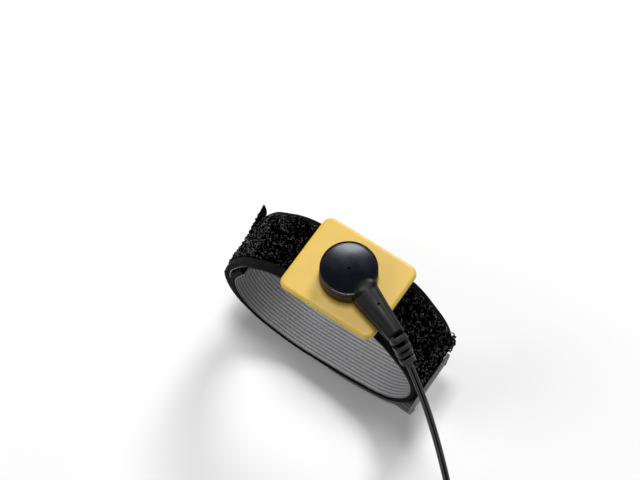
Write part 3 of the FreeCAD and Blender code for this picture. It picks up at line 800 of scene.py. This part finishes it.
class Tail:
    """The strap's outer end: it lies askew on the pile, cut on a slant, and its far corner lifts off."""

    def __init__(self, route, tip, root):
        self.route, self.tip, self.root = route, tip, root

    def start(self, across):
        """Where the slanted cut runs."""
        return self.tip + TAIL_SLANT * (1 - self.toward_tip(across) ** 3)

    def toward_tip(self, across):
        return np.clip(across / STRAP_WIDTH + 0.5, 0, 1)

    def drift(self, s):
        """How far the end lies to the far side."""
        return TAIL_SHIFT * (1 - np.clip((s - self.tip) / (self.root - self.tip), 0, 1)) ** 1.5

    def underside(self, s, across):
        beyond = np.maximum(0, 1 - (s - self.start(across)) / TAIL_RUN)
        return PILE_GROUND + TAIL_LIFT + TAIL_CURL * self.toward_tip(across) ** 4 * beyond**2

    def thickness(self, s):
        return TAIL_THICK * np.clip((self.root - s) / TAIL_TAPER, 0.3, 1)

    def sheet(self):
        """The woven end itself."""
        across = np.linspace(-STRAP_WIDTH / 2, STRAP_WIDTH / 2, 60)
        rows = []
        for share in np.linspace(0, 1, 90):
            s = self.start(across) + (self.root - self.start(across)) * share
            y = across + self.drift(s) + stray(self.route, s)
            low = self.underside(s, across)
            high = low + self.thickness(s) + weave(s, across)
            over, under = [np.stack([x, y, z], axis=1)
                           for x, z in (on_route(self.route, s, high), on_route(self.route, s, low))]
            rows.append(np.concatenate([over, under[::-1]]))
        return finished_skin("strap_tail", np.array(rows) * MM, WEBBING, 60)

    def covers(self, s, y):
        """Whether places on the band lie under this end."""
        across = y - self.drift(s)
        return (s > self.start(across) + 0.4) & (across > 0.4 - STRAP_WIDTH / 2)

    def pile(self):
        s, across = pile_spots(self.tip, self.root)
        on = s > self.start(across) + 0.5
        s, across = s[on], across[on]
        ground = self.underside(s, across) + self.thickness(s)
        y = across + self.drift(s) + stray(self.route, s)
        return pile_loops("pile_tail", self.route, s, y, ground, TAIL_PILE_HEIGHT)


def frayed_edge(route):
    """Long curls pushed over the far selvage where the tab presses on the pile."""
    first, last = np.add(distance_at(route, "side_right", SIDE_LAYER), FRAYED_STRETCH)
    s = CHANCE.uniform(first, last, FRAYED_CURLS)
    y = CHANCE.uniform(PILE_FAR - 0.3, STRAP_WIDTH / 2 + 0.3, FRAYED_CURLS)
    return pile_loops("frayed", route, s, y, np.full(FRAYED_CURLS, PILE_GROUND), FRAYED_HEIGHT)


def build_strap():
    """The band with its pile and its outer end as one piece, and the lining."""
    corners = [below_surface(*corner) for corner in BAND]
    route = soft_route(corners, 0.22)
    base = build_band(route)
    lining = build_lining(soft_route(corners, 0.4))
    start = distance_at(route, "heel_right", HEEL_LAYER) - PILE_START
    plate_right = distance_at(route, "top_right", OUTER_LAYER) - PLATE_GAP_RIGHT
    plate_left = distance_at(route, "top_left", OUTER_LAYER) - PLATE_GAP_LEFT
    tail = Tail(route, distance_at(route, "shoulder_left", OUTER_LAYER) + TAIL_TIP,
                distance_at(route, "heel_left", OUTER_LAYER) - TAIL_ROOT)
    pieces = [base, tail.sheet(), tail.pile(), frayed_edge(route)]
    for first, last in ((start, plate_right), (plate_left, route[2][-1] - 0.5)):
        s, y = pile_spots(first, last)
        bare = ~tail.covers(s, y)
        s, y = s[bare], y[bare]
        ground = np.full(len(s), PILE_GROUND)
        pieces.append(pile_loops("pile", route, s, y + stray(route, s), ground))
    strap = join("strap_webbing", pieces)
    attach(strap, "strap")
    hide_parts("strap_band")
    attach(lining, "strap")
    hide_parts("conductive_lining")


# ---- the hook tab ----

TAB_STITCH = 1.5
TAB_SEWN = 24.0
TAB_ASKEW = 12.0
TAB_FOOT = 7.5
TAPE_WEAVE = 0.05
STITCH_INSET = 1.3
STITCH_START = 9.0
STITCH_RADIUS = 0.13
HOOKED_LENGTH = 16.0
HOOK_PITCH = 0.95
HOOK_RADIUS = 0.07


def tab_route():
    """The tab's middle line from its sewn end to its free end, and the place where it bends."""
    sewn_layer = BAND_THICK + LINING_THICK + 0.15 + TAB_THICK / 2
    foot = below_surface("foot_right", sewn_layer)
    on_pile = ("heel_right", "low_right", "side_right")
    heel, low, side = [below_surface(name, TAB_THICK / 2) for name in on_pile]
    end = low + (side - low) / np.linalg.norm(side - low) * TAB_REACH
    return soft_route([foot - (TAB_FOOT, 0), foot, heel, low, end], 0.2), (heel + low) / 2


def tab_drift(walk):
    """How far the tab lies to the near side: not at all where it is sewn, most at its free end."""
    return TAB_SHIFT * np.clip((walk - TAB_SEWN) / TAB_ASKEW, 0, 1)


def stitch_row(route, y, first, last, height):
    """A row of lock stitches lying on the tab's back."""
    starts = np.arange(first, last - TAB_STITCH, TAB_STITCH)
    t = np.linspace(0, 1, 7)
    s = starts[:, None] + (0.08 + 0.84 * t[None]) * TAB_STITCH
    x, z = on_route(route, s, height + 0.11 * np.sin(math.pi * t)[None] ** 0.5 - 0.03)
    line = np.stack([x, y + tab_drift(s), z], axis=2)
    return tubes("stitches", line, np.full(len(starts), STITCH_RADIUS), 6, THREAD)


def hook_field(route, first, last, half):
    """Small moulded hooks on the tab's inner face."""
    spots = np.array([(s, y) for s in np.arange(first, last, HOOK_PITCH)
                      for y in np.arange(-half, half, HOOK_PITCH)])
    bend = np.array([0, 0.02, 0.06, 0.2, 0.3])
    rise = np.array([0, 0.22, 0.36, 0.42, 0.32])
    s = spots[:, 0, None] + bend[None]
    x, z = on_route(route, s, 0.27 - TAB_THICK / 2 - rise[None])
    y = spots[:, 1, None] + tab_drift(s) + np.linspace(0, 0.05, len(bend))[None]
    return tubes("hooks", np.stack([x, y, z], axis=2), np.full(len(spots), HOOK_RADIUS), 4, THREAD)


def build_tab():
    """The hook tab in one piece, which bends between its sewn part and its free part."""
    route, crease = tab_route()
    half, mid = STRAP_WIDTH / 2, TAB_THICK / 2
    across = np.arange(-half + 0.3, half - 0.2, 0.22)
    face = np.stack([across, np.full(len(across), mid - 0.06)], axis=1)
    edge = [(half - 0.1, mid - 0.15), (half, 0.1), (half, -0.1), (half - 0.1, 0.15 - mid)]
    back = np.stack([across[::-3], np.full(len(across[::-3]), 0.25 - mid)], axis=1)
    far = [(-y, d) for y, d in reversed(edge)]
    rows = strap_rows(route, np.concatenate([face, edge, back, far]))
    rows[:, :, 1] += tab_drift(route[2])[:, None] * MM
    lift_columns(rows, route, np.arange(len(face)), weave(route[2][:, None], across[None], TAPE_WEAVE))
    length = route[2][-1]
    pieces = [finished_skin("tab_cloth", rows, TAB_CLOTH, 70)]
    pieces.append(hook_field(route, length - HOOKED_LENGTH, length - 0.6, half - 0.8))
    for y in (STITCH_INSET - half, half - STITCH_INSET):
        pieces.append(stitch_row(route, y, STITCH_START, length - 1.5, mid - 0.02))
    made = join("hook_tab_cloth", pieces)
    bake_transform(made)
    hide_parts("tab_sewn_end", "hook_tab")


# ---- the cover plate ----

PLATE_LENGTH = 29.5
PLATE_WIDTH = 24.5
PLATE_THICK = 3.0
PLATE_CORNER = 2.7
PLATE_EDGE = 1.0
PLATE_DRAFT = 0.95
PLATE_FOOT = 0.3
CHANNEL_WIDTH = 19.6
CHANNEL_TOP = 1.45
POST_RADIUS = 1.3


def plate_ring(inset, z):
    """A rounded rectangle at one height, drawn in by an inset."""
    radius = max(PLATE_CORNER - inset, 0.4)
    ring = []
    for k, (sx, sy) in enumerate(((1, 1), (-1, 1), (-1, -1), (1, -1))):
        cx, cy = sx * (PLATE_LENGTH / 2 - inset - radius), sy * (PLATE_WIDTH / 2 - inset - radius)
        for a in np.linspace(k * math.pi / 2, (k + 1) * math.pi / 2, 12):
            ring.append((cx + radius * math.cos(a), cy + radius * math.sin(a), z))
    return ring


def box_tool(lo, hi):
    """A box to cut with, from its low and high corners in millimetres."""
    x, y, z = zip(lo, hi)
    corners = [(x[i], y[j], z[k]) for k in (0, 1) for i, j in ((0, 0), (1, 0), (1, 1), (0, 1))]
    return skin_object("tool", np.array(corners).reshape(2, 4, 3) * MM)


def build_plate():
    """A drafted plate with a rounded top edge, a channel for the band and a hole for the snap's post."""
    low = PLATE_TOP - PLATE_THICK
    shoulder = PLATE_TOP - PLATE_EDGE
    rings = [
        plate_ring(PLATE_DRAFT + PLATE_FOOT, low), plate_ring(PLATE_DRAFT + 0.05, low + 0.12),
        plate_ring(0.12, shoulder - 0.45), plate_ring(0.02, shoulder - 0.2),
    ]
    for a in np.linspace(0, math.pi / 2, 9):
        rings.append(plate_ring(PLATE_EDGE * (1 - math.cos(a)), shoulder + PLATE_EDGE * math.sin(a)))
    rings.append(plate_ring(PLATE_EDGE + 0.6, PLATE_TOP))
    plate = skin_object("cover", np.array(rings) * MM)
    half = CHANNEL_WIDTH / 2
    channel = box_tool((-20, -half, low - 1), (20, half, PLATE_TOP - CHANNEL_TOP))
    under, over = low - 2, PLATE_TOP + 1
    post = lathe("tool", [(0, under), (POST_RADIUS, under), (POST_RADIUS, over), (0, over)], 32)
    plate = boolean(boolean(plate, channel), post)
    refinish(plate, "plate_cover", YELLOW, 35)
    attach(plate, "strap")
    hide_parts("cover_plate")


# ---- the plug ----

CAP_RADIUS = 7.75
CAP_LOW = 4.72
CAP_ROUND = 0.22
DISH_RIM = 0.5
DISH_DEPTH = 0.30
MARK_RADIUS = 0.5
MARK_DEPTH = 1.6
DRUM_LOW = 0.35
DRUM_TOP = 4.7
SOCKET_RADIUS = 4.55
SOCKET_ROOF = 3.7
LUG_WAY = ((4.2, -1.5, 1.5), (21.0, 1.5, 3.2))
ARM_AXIS = 2.9
ARM_UNDER = 0.5
ARM_RISE = 1.8
ARM_START = 6.4
ARM_WIDEST = 7.4
ARM_BENT = 12.0
ARM_END = 21.8
ARM_REACH = 22.4
ARM_ROOT = 3.75
ARM_TIP = 2.45
ARM_MARK = (12.9, 0.5)
# The shell at places along the arm: its half widths to the left and right, its lowest and highest level.
SHELL = {
    4.55: (0.3, 1.5, 5.6, 5.9), 4.8: (1.2, 2.3, 5.6, 6.2), 5.6: (2.2, 3.0, 5.6, 6.5),
    6.6: (3.0, 3.5, 5.4, 6.62), 7.6: (3.6, 3.75, 4.6, 6.6), 8.0: (3.7, 3.72, 2.93, 6.58),
    14.0: (3.1, 3.1, 2.93, 6.3), 19.5: (2.6, 2.6, 2.93, 5.9), 21.5: (2.46, 2.46, 2.93, 5.7),
    ARM_END: (2.3, 2.3, 3.05, 5.5),
}


def build_cap():
    """A shallow dished button with a rounded rim and a gate mark in its middle."""
    top = CAP_TOP
    rim = [(CAP_RADIUS - CAP_ROUND * (1 - math.cos(a)), top - CAP_ROUND * (1 - math.sin(a)))
           for a in np.linspace(0, math.pi / 2, 7)]
    dish = [(r, top - DISH_DEPTH * (1 - (r / (CAP_RADIUS - DISH_RIM)) ** 2))
            for r in np.linspace(CAP_RADIUS - DISH_RIM - 0.1, MARK_RADIUS + 0.1, 14)]
    mark = [(MARK_RADIUS, top - DISH_DEPTH), (MARK_RADIUS - 0.03, top - DISH_DEPTH - 0.03),
            (MARK_RADIUS - 0.05, top - MARK_DEPTH)]
    profile = [(0, CAP_LOW), (CAP_RADIUS - 0.2, CAP_LOW), (CAP_RADIUS - 0.05, CAP_LOW + 0.12)]
    cap = lathe("cap_disc", profile + rim + dish + mark, 128)
    cap.data.materials.append(CAP_BLACK)
    # The gate mark's hole gets the painted shade material, so it reads black as a shaded hollow.
    cap.data.materials.append(PAINTED_SHADE)
    for face in cap.data.polygons:
        in_shaded_mark = face.center.xy.length < (MARK_RADIUS - 0.02) * MM and face.center.z > CAP_LOW * MM
        face.material_index = int(in_shaded_mark)
    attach(move(cap, place_plug()), "plug")
    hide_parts("plug_cap")


def arm_half(r):
    """Half the arm's width, which narrows from the drum to the tip."""
    return np.interp(r, [ARM_WIDEST, ARM_REACH], [ARM_ROOT, ARM_TIP])


def shell_section(r, left, right, low, top):
    """A soft-ridged cross-section at one place along the arm, from its left foot to its right foot."""
    rise = top - low
    corners = [
        (-left * 0.98, low), (-left, low + 0.5 * rise), (-0.52 * left, top - 0.14 * rise),
        (0.15 * right, top), (0.68 * right, top - 0.13 * rise), (right, low + 0.5 * rise),
        (right * 0.98, low),
    ]
    outline = rounded(corners, [0.4, 0.8, 0.9, 0.9, 0.7], 6)
    return [(r, w, z) for w, z in outline]


def build_arm_cover():
    """The arm's upper shell: a blunt slanted nose on the cap, then a faceted ridge to the relief."""
    known, sizes = np.array(list(SHELL)), np.array(list(SHELL.values()))
    places = np.unique(np.concatenate([known, np.arange(8.5, 21.4, 0.75)]))
    rows = [shell_section(r, *[np.interp(r, known, sizes[:, k]) for k in range(4)]) for r in places]
    shell = skin_object("shell", np.array(rows) * MM, 45)
    mark = lathe("tool", [(0, 5.4), (0.38, 5.4), (0.42, 8), (0, 8)], 24)
    move(mark, Matrix.Translation(Vector((*ARM_MARK, 0)) * MM))
    shell = boolean(shell, mark)
    refinish(shell, "arm_shell", ARM_BLACK, 45)
    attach(move(shell, place_plug()), "plug")
    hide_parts("arm_cover")


def build_drum():
    """The round housing, open below for the socket, with the arm's lower half."""
    wall = [
        (SOCKET_RADIUS, SOCKET_ROOF), (SOCKET_RADIUS, DRUM_LOW + 0.2), (SOCKET_RADIUS + 0.25, DRUM_LOW),
        (CAP_RADIUS - 0.25, DRUM_LOW), (CAP_RADIUS + 0.02, DRUM_LOW + 0.12),
        (CAP_RADIUS + 0.12, DRUM_LOW + 0.4), (CAP_RADIUS + 0.02, DRUM_TOP - 0.25),
        (CAP_RADIUS - 0.12, DRUM_TOP - 0.08), (CAP_RADIUS - 0.3, DRUM_TOP),
    ]
    drum = lathe("drum", [(0, SOCKET_ROOF), *wall, (0, DRUM_TOP)], 128)
    rows = []
    for r in np.concatenate([[ARM_START], np.arange(7.0, ARM_END - 0.3, 0.8), [ARM_END - 0.2, ARM_END]]):
        half = arm_half(r) * (0.94 if r == ARM_END else 1.0)
        under = ARM_UNDER + ARM_RISE * max(0.0, (r - ARM_BENT) / (ARM_REACH - ARM_BENT)) ** 1.5
        corners = [(-half, ARM_AXIS), (-half, under + 0.5), (-half + 0.6, under),
                   (half - 0.6, under), (half, under + 0.5), (half, ARM_AXIS)]
        rows.append([(r, w, z) for w, z in rounded(corners, 0.4, 4)])
    arm = skin_object("arm", np.array(rows)[:, ::-1] * MM)
    body = boolean(boolean(drum, arm, "UNION"), box_tool(*LUG_WAY))
    refinish(body, "drum_housing", ARM_BLACK, 35)
    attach(move(body, place_plug()), "plug")
    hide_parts("plug_base")


# ---- the strain relief ----

RELIEF_HALF = 2.35
RELIEF_SLOT = 0.95
RELIEF_BLOCK = 1.15
RELIEF_BLOCKS = 4
RELIEF_SHORT = 1.8
RELIEF_FLAT = 0.45
COLLAR_LONGER = 0.55
COLLAR_TAPER = 0.93
CORE_HALF = (1.35, 1.2)
NECK_HALF = (1.0, 0.62)
BRIDGE_HALF = (0.75, 1.2)
BRIDGE_OVERLAP = 0.3
BRIDGE_INSET = 0.85
BLOCK_ROUND = 0.22
BLOCK_SQUARE = 0.55


def relief_line():
    """The relief's middle line in the arm's frame, from inside its end to just past the cord's start."""
    leaves = Vector(RUN[0]).lerp(Vector(RUN[1]), 0.05)
    last = place_plug().inverted() @ (leaves * MM) / MM
    root, bend = (ARM_REACH - 0.8, ARM_AXIS + 0.15), (ARM_REACH + 0.9, ARM_AXIS - 0.3)
    line = rounded([root, bend, (last.x, last.z)], 2.2, 16)
    far = np.concatenate([[0], np.cumsum(np.linalg.norm(np.diff(line, axis=0), axis=1))])
    return line, far


def squared(share):
    """A cosine or a sine pulled toward its ends, which turns a circle into a soft square."""
    return math.copysign(abs(share) ** BLOCK_SQUARE, share)


def relief_block(name, first, last, half_wide, half_tall, shift=0.0, taper=1.0):
    """A soft-edged rectangular block on the relief's line."""
    line, far = relief_line()
    rows = []
    for share in np.linspace(0, 1, 11):
        s = max(first + (last - first) * share, 0.0)
        here, before, after = [np.array([np.interp(at, far, line[:, k]) for k in (0, 1)])
                               for at in (s, s - 0.1, s + 0.1)]
        ahead = (after - before) / np.linalg.norm(after - before)
        over = np.array([-ahead[1], ahead[0]])
        at_end = max(0.0, abs(2 * share - 1) - 0.7) / 0.3
        ease = BLOCK_ROUND * (1 - math.sqrt(max(0.0, 1 - at_end**2)))
        scale = 1 + (taper - 1) * share
        row = []
        for a in np.linspace(0, 2 * math.pi, 40, endpoint=False):
            wide = squared(math.cos(a)) * (half_wide - ease) * scale + shift
            r, z = here + over * squared(math.sin(a)) * (half_tall - ease) * scale
            row.append((r, wide, z))
        rows.append(row)
    return finished_skin(name, np.array(rows) * MM, RUBBER, 50)


def build_relief():
    """Blocks joined by a bridge on alternate sides round a core, the last one longer as a collar."""
    length = relief_line()[1][-1]
    core = relief_block("core", 0, length - RELIEF_SHORT - 0.4, *CORE_HALF)
    # The core gets the painted shade material, so the slots between the blocks read black as shade.
    core.data.materials[0] = PAINTED_SHADE
    pieces = [core, relief_block("neck", length - 2.5, length, *NECK_HALF)]
    pitch = RELIEF_BLOCK + RELIEF_SLOT
    start = length - RELIEF_SHORT - COLLAR_LONGER - RELIEF_BLOCKS * pitch + RELIEF_SLOT
    for i in range(RELIEF_BLOCKS):
        s = start + i * pitch
        half = RELIEF_HALF - 0.05 * i
        collar = i == RELIEF_BLOCKS - 1
        end = s + RELIEF_BLOCK + (COLLAR_LONGER if collar else 0)
        taper = COLLAR_TAPER if collar else 1
        pieces.append(relief_block("block", s, end, half, half - RELIEF_FLAT, 0, taper))
        shift = (half - BRIDGE_INSET) * (1 if i % 2 else -1)
        bridge = (s - RELIEF_SLOT - BRIDGE_OVERLAP, s + BRIDGE_OVERLAP)
        pieces.append(relief_block("bridge", *bridge, *BRIDGE_HALF, shift))
    relief = join("relief_sleeve", pieces)
    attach(move(relief, place_plug()), "plug")
    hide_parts("strain_relief")
    return relief


# ---- the coil's tie ----

TIE_WIDTH = 4.0
TIE_BEND = 1.3
TIE_LAP = 2.2
TIE_POINTS = 33


def build_coil_tie():
    """A woven tie wrapped once round the coil, its end lapped over its start."""
    low, high = [np.array(corner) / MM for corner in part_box("coil_tie")]
    left, right = low[0] + TIE_THICK / 2, high[0] - TIE_THICK / 2
    floor, roof = low[2] + TIE_THICK / 2, high[2] - TIE_THICK / 2
    lap = roof + TIE_THICK + 0.08
    route = soft_route([(right - TIE_LAP, roof), (left, roof), (left, floor),
                        (right, floor), (right, lap), (left + TIE_LAP, lap)], 0.12, TIE_BEND)
    half = TIE_WIDTH / 2
    across = np.linspace(-half + 0.1, half - 0.1, TIE_POINTS)
    face = np.stack([across, np.full(TIE_POINTS, TIE_THICK / 2 - 0.03)], axis=1)
    edge = [(half, 0.1), (half, -0.1)]
    far = [(-y, d) for y, d in reversed(edge)]
    rows = strap_rows(route, np.concatenate([face, edge, -face, far]))
    lift_columns(rows, route, np.arange(TIE_POINTS), weave(route[2][:, None], across[None], TAPE_WEAVE))
    rows[:, :, 1] += (low[1] + high[1]) / 2 * MM
    tie = finished_skin("tie_band", rows, THREAD, 60)
    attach(tie, "plug")
    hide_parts("coil_tie")
    return tie


# ---- CAD pieces that keep their shape and get their finish ----


def finish_nodes():
    """Gives the metal parts, the resistor and the banana plug's plastic their materials."""
    finishes = {
        STEEL: ("skin_plate", "clip_lower_jaw", "clip_upper_jaw"),
        NICKEL: ("snap_stud", "stud_rivet", "snap_socket", "banana_pin", "clip_pivot_pin"),
        SPRING: ("socket_spring", "banana_spring", "clip_spring"),
        BRASS: ("contact_lug", "crimp_ferrule"),
        COPPER: ("inner_conductor",),
        CERAMIC: ("limit_resistor",),
        RUBBER: ("banana_relief",),
        ARM_BLACK: ("banana_grip",),
    }
    for finish, names in finishes.items():
        for name in names:
            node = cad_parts[name]
            node.data.materials.clear()
            node.data.materials.append(finish)


add_stage(*add_camera())
cord, cord_line = build_cord()
build_strap()
build_tab()
build_plate()
build_cap()
build_arm_cover()
build_drum()
relief = build_relief()
tie = build_coil_tie()
finish_nodes()

cord_length = float(np.linalg.norm(np.diff(cord_line, axis=0), axis=1).sum())
